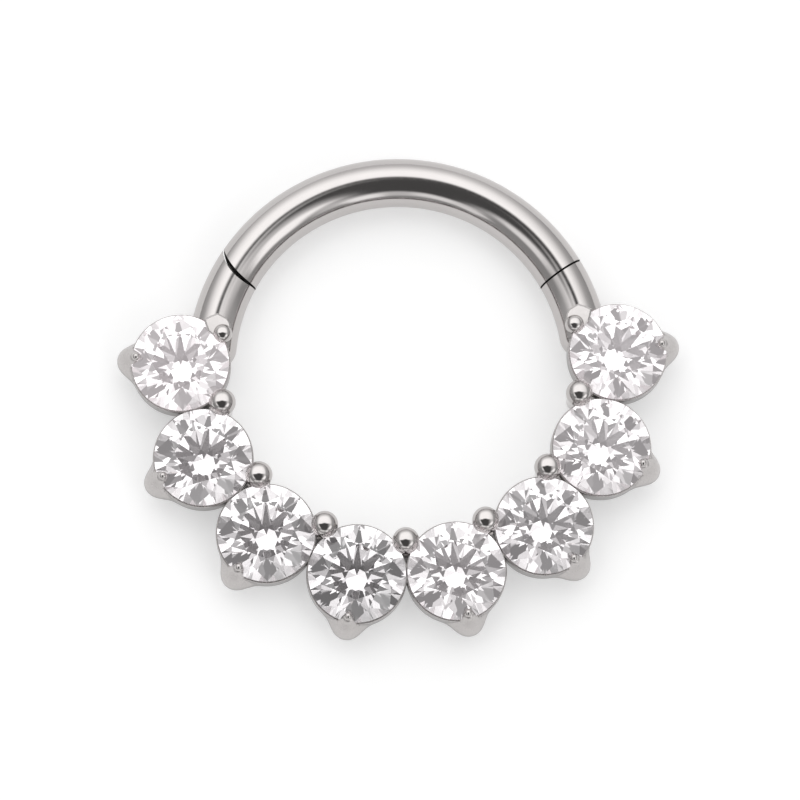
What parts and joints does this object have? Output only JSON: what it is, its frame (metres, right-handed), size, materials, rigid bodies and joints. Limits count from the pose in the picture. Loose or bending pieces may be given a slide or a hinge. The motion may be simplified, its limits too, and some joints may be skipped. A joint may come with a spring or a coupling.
{
  "type": "hinged piercing hoop with stones",
  "caption": "Hinged piercing hoop: a plain round-wire arc closes onto a curved row of round brilliant-cut clear stones in shared bead and claw prongs. It lies on its back.",
  "frame": {"origin": "centre of the hoop, on the flat plane that its back rests on", "axes": "+Z out of the front, where the stones face; +X to the right of the picture, towards the closing seam; +Y towards the top of the plain arc"},
  "size_m": [0.0138, 0.0119, 0.0015],
  "materials": {
    "setting_metal": "polished surgical steel",
    "wire_metal": "polished surgical steel",
    "pin_metal": "polished surgical steel",
    "stone": "faceted clear crystal"
  },
  "bodies": {
    "setting": {"gallery": "setting_metal", "hinge_pin": "pin_metal", "stone_1": "stone", "stone_2": "stone", "stone_3": "stone", "stone_4": "stone", "stone_5": "stone", "stone_6": "stone", "stone_7": "stone", "stone_8": "stone"},
    "arc": {"hoop_segment": "wire_metal"}
  },
  "joints": [
    {"name": "arc_hinge", "type": "hinge", "parent": "setting", "child": "arc", "pos_m": [-0.00317, 0.003, 0.0006], "axis": [0, 0, 1], "range_deg": [0, 85]}
  ]
}
